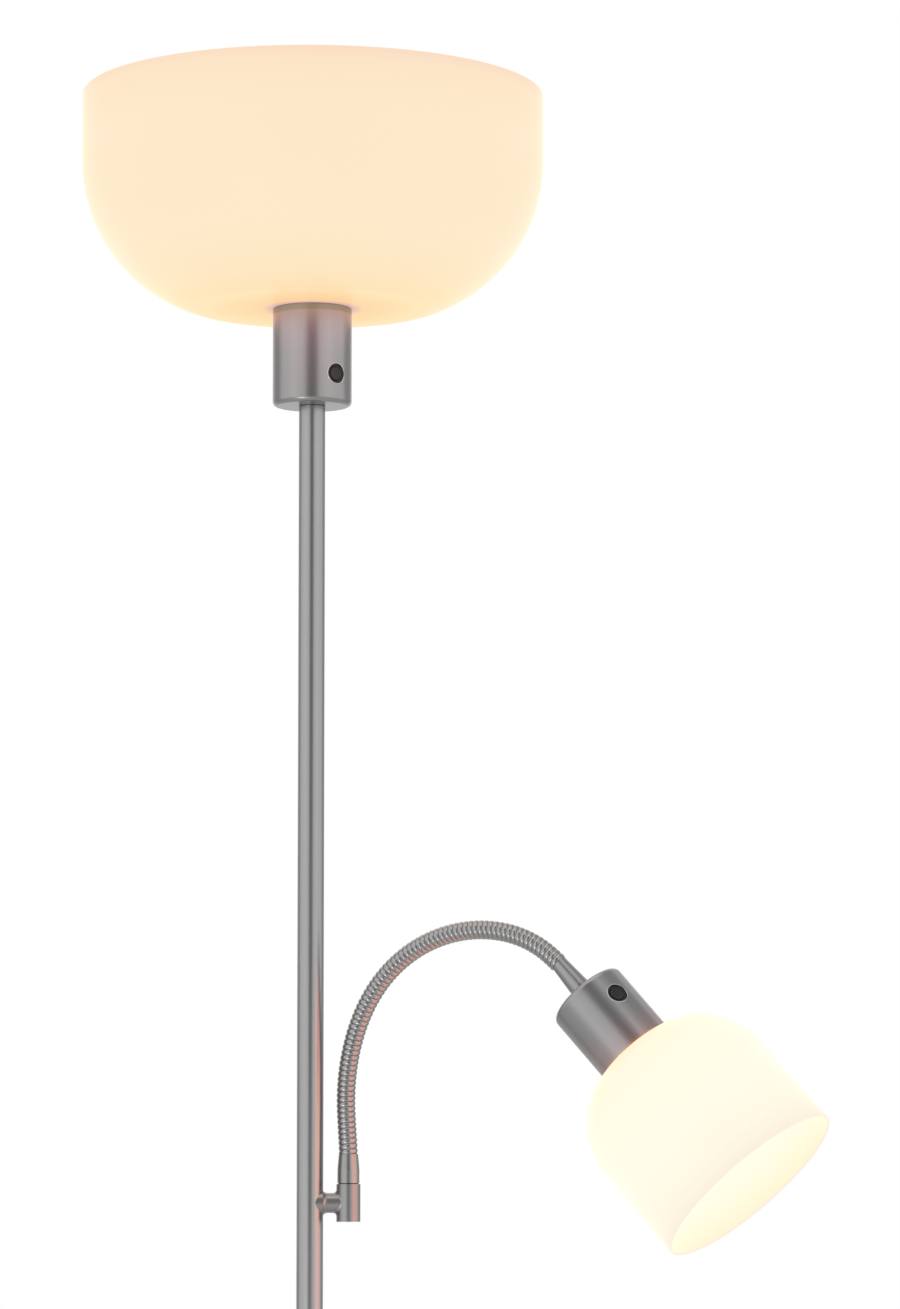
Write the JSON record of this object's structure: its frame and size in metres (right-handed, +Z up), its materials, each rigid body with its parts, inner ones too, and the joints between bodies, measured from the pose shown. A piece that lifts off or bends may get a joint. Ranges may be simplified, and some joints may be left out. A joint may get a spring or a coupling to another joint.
{
  "type": "torchiere floor lamp",
  "caption": "Floor lamp: opal bowl uplight on a straight pole with round base, and a gooseneck reading lamp with an opal cup shade on a swivel bracket.",
  "frame": {"origin": "middle of the base's flat underside, on the pole's axis", "axes": "+Z up along the pole; +X from the pole to the swivel barrel; the cord gland is at +Y, the back"},
  "size_m": [0.4449, 0.3024, 1.8001],
  "materials": {
    "pad": "matte, anti-slip",
    "weight": "as cast",
    "base_shell": "satin nickel",
    "gland": "moulded",
    "nipple": "threaded",
    "fastener": "zinc plated",
    "plug": "machined",
    "tube": "satin nickel",
    "lead": "matte sheath",
    "casting": "satin nickel",
    "housing": "satin nickel",
    "hose": "wound steel, satin",
    "holder": "moulded, heat resistant",
    "shade_ring": "moulded",
    "opal_bowl": "opal, lit",
    "opal_shade": "opal, lit",
    "cap": "nickel plated",
    "globe": "frosted, lit",
    "switch": "moulded",
    "button": "moulded",
    "washer": "nylon"
  },
  "bodies": {
    "stand": {"base_pad": "pad", "base_weight": "weight", "base_cover": "base_shell", "cord_gland": "gland", "base_nipple": "nipple", "base_washer": "fastener", "base_nut": "fastener", "pole_foot_plug": "plug", "pole_lower": "tube", "pole_coupler_lower": "plug", "pole_middle": "tube", "pole_coupler_upper": "plug", "pole_upper": "tube", "pole_head_plug": "plug", "mains_lead": "lead", "tee_bracket": "casting", "tee_cap": "casting", "upper_housing": "housing", "upper_nipple": "nipple", "upper_washer": "fastener", "upper_nut": "fastener", "upper_lampholder": "holder", "upper_shade_ring": "shade_ring", "upper_shade": "opal_bowl", "upper_bulb_cap": "cap", "upper_bulb_globe": "globe", "upper_switch": "switch"},
    "upper_button": {"upper_button": "button"},
    "arm": {"lower_ferrule": "casting", "swivel_washer": "washer", "swivel_nut": "fastener", "neck_hose_1": "hose"},
    "neck_link_1": {"neck_hose_2": "hose"},
    "neck_link_2": {"neck_hose_3": "hose"},
    "neck_link_3": {"neck_hose_4": "hose"},
    "head": {"neck_hose_5": "hose", "upper_ferrule": "casting", "head_housing": "housing", "head_nipple": "nipple", "head_washer": "fastener", "head_nut": "fastener", "head_lampholder": "holder", "head_shade_ring": "shade_ring", "head_shade": "opal_shade", "head_bulb_cap": "cap", "head_bulb_globe": "globe", "head_switch": "switch"},
    "head_button": {"head_button": "button"}
  },
  "joints": [
    {"name": "arm_swivel", "type": "hinge", "parent": "stand", "child": "arm", "pos_m": [0.023, 0, 1.1384], "axis": [0, 0, 1], "range_deg": [-101, 149]},
    {"name": "neck_bend_1", "type": "hinge", "parent": "arm", "child": "neck_link_1", "pos_m": [0.02125, 0.00078, 1.18865], "axis": [0.4067, 0.9135, 0], "range_deg": [-5, 15]},
    {"name": "neck_bend_2", "type": "hinge", "parent": "neck_link_1", "child": "neck_link_2", "pos_m": [0.03559, -0.00561, 1.24886], "axis": [0.4067, 0.9135, 0], "range_deg": [-22, 10]},
    {"name": "neck_bend_3", "type": "hinge", "parent": "neck_link_2", "child": "neck_link_3", "pos_m": [0.06699, -0.01959, 1.28035], "axis": [0.4067, 0.9135, 0], "range_deg": [-22, 10]},
    {"name": "neck_bend_4", "type": "hinge", "parent": "neck_link_3", "child": "head", "pos_m": [0.12302, -0.04453, 1.28504], "axis": [0.4067, 0.9135, 0], "range_deg": [-30, 12]},
    {"name": "upper_button_press", "type": "slide", "parent": "stand", "child": "upper_button", "axis": [-0.6374, 0.7705, 0], "range_m": [0, 0.0015], "stiffness_N_per_m": 300, "springref_m": -0.0005},
    {"name": "head_button_press", "type": "slide", "parent": "head", "child": "head_button", "axis": [-0.302, 0.7825, -0.5445], "range_m": [0, 0.0015], "stiffness_N_per_m": 300, "springref_m": -0.0005}
  ]
}
